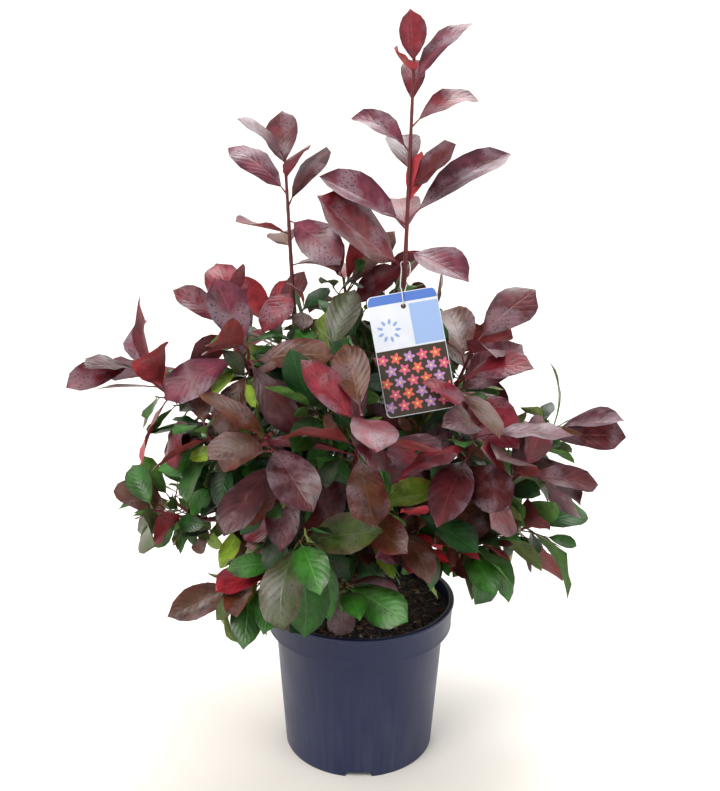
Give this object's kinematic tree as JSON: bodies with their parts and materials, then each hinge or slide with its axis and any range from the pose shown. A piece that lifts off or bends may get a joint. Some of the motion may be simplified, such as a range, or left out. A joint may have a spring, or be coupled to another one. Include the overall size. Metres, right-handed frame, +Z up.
{
  "type": "potted photinia shrub",
  "caption": "Young upright photinia shrub with wine-red young leaves over green, in a round broad-collared nursery pot, with a hanging card label.",
  "frame": {"origin": "middle of the pot's flat underside", "axes": "+Z up along the pot's axis; the label hangs on the -Y side, toward the picture's camera; +X is the picture's right"},
  "size_m": [0.6639, 0.6, 0.9263],
  "materials": {
    "pot_plastic": "satin moulded plastic, dusty",
    "potting_mix": "rough damp bark mulch",
    "stem_bark": "smooth young bark, brown-red",
    "wine_foliage": "leathery leaves, semi-gloss",
    "bronze_foliage": "leathery leaves, semi-gloss",
    "olive_foliage": "leathery leaves, semi-gloss",
    "green_foliage": "leathery leaves, semi-gloss",
    "label_card": "printed card with a smooth film",
    "tie_elastic": "thin pale elastic"
  },
  "bodies": {
    "root": {"bough_back_centre": "stem_bark", "bough_back_left": "stem_bark", "bough_back_left_high": "stem_bark", "bough_back_right": "stem_bark", "bough_back_right_high": "stem_bark", "bough_back_top": "stem_bark", "bough_centre_green": "stem_bark", "bough_centre_low": "stem_bark", "bough_centre_top": "stem_bark", "bough_far_left": "stem_bark", "bough_front_centre": "stem_bark", "bough_front_left": "stem_bark", "bough_left_front": "stem_bark", "bough_left_green": "stem_bark", "bough_left_leader": "stem_bark", "bough_left_mid": "stem_bark", "bough_low_left": "stem_bark", "bough_right_far": "stem_bark", "bough_right_green": "stem_bark", "bough_right_inner": "stem_bark", "bough_right_leader": "stem_bark", "bough_right_low_far": "stem_bark", "bough_right_mid": "stem_bark", "bough_upper_left": "stem_bark", "bough_upper_right": "stem_bark", "foliage_back_centre": "bronze_foliage", "foliage_back_left": "bronze_foliage", "foliage_back_left_high": "bronze_foliage", "foliage_back_low": "olive_foliage", "foliage_back_right": "olive_foliage", "foliage_back_right_high": "bronze_foliage", "foliage_back_top": "bronze_foliage", "foliage_centre_green": "green_foliage", "foliage_centre_low": "bronze_foliage", "foliage_centre_top": "bronze_foliage", "foliage_far_left": "wine_foliage", "foliage_front_centre": "wine_foliage", "foliage_front_left": "wine_foliage", "foliage_front_low": "olive_foliage", "foliage_front_right_low": "olive_foliage", "foliage_left_front": "bronze_foliage", "foliage_left_green": "green_foliage", "foliage_left_leader": "wine_foliage", "foliage_left_mid": "bronze_foliage", "foliage_low_left": "bronze_foliage", "foliage_low_left_green": "olive_foliage", "foliage_right_far": "bronze_foliage", "foliage_right_green": "green_foliage", "foliage_right_inner": "wine_foliage", "foliage_right_leader": "wine_foliage", "foliage_right_low": "olive_foliage", "foliage_right_low_far": "bronze_foliage", "foliage_right_mid": "wine_foliage", "foliage_upper_left": "wine_foliage", "foliage_upper_right": "wine_foliage", "label_tie": "tie_elastic", "main_stem": "stem_bark", "nursery_pot": "pot_plastic", "plant_label": "label_card", "potting_mix": "potting_mix"}
  },
  "joints": []
}
